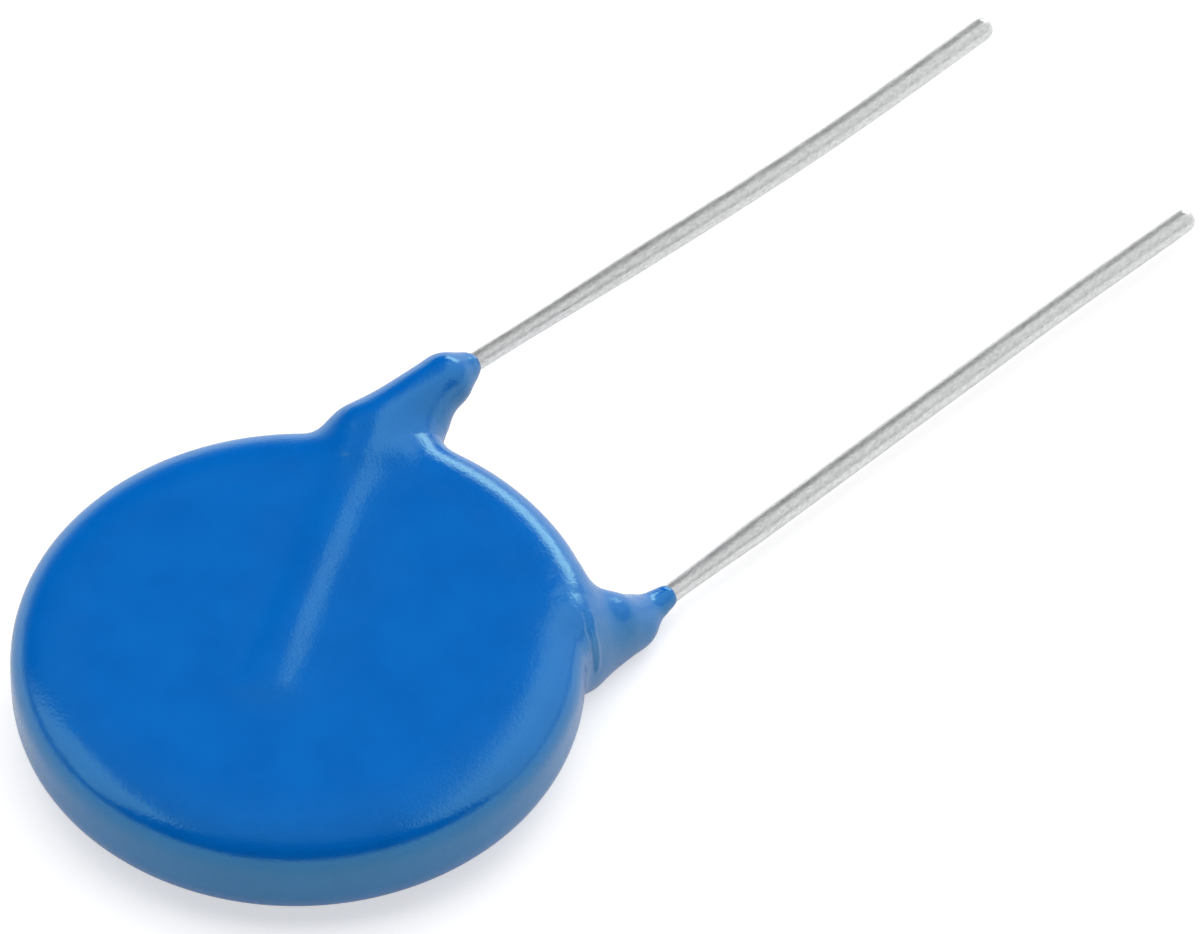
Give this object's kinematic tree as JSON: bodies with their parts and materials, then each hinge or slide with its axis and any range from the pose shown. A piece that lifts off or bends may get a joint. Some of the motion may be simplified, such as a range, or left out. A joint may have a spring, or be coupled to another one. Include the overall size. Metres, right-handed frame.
{
  "type": "disc varistor",
  "caption": "Radial-leaded disc varistor: a ceramic disc dipped in blue epoxy, with straight tinned leads that leave it through tapered legs of coating.",
  "frame": {"origin": "middle of the bounding box in plan, on the surface that the part lies on", "axes": "+Z is the disc's axis, up from the rear face to the front face; +Y is the way the leads run from the disc"},
  "size_m": [0.022, 0.0542, 0.0057],
  "materials": {
    "blue_epoxy": "satin dipped epoxy",
    "zinc_oxide": "sintered ceramic",
    "fired_silver": "fired silver print",
    "tin_solder": "flowed solder",
    "tinned_wire": "matte tinned wire"
  },
  "bodies": {
    "root": {"epoxy_coating": "blue_epoxy", "ceramic_disc": "zinc_oxide", "front_electrode": "fired_silver", "rear_electrode": "fired_silver", "front_solder": "tin_solder", "rear_solder": "tin_solder", "front_lead": "tinned_wire", "rear_lead": "tinned_wire"}
  },
  "joints": []
}
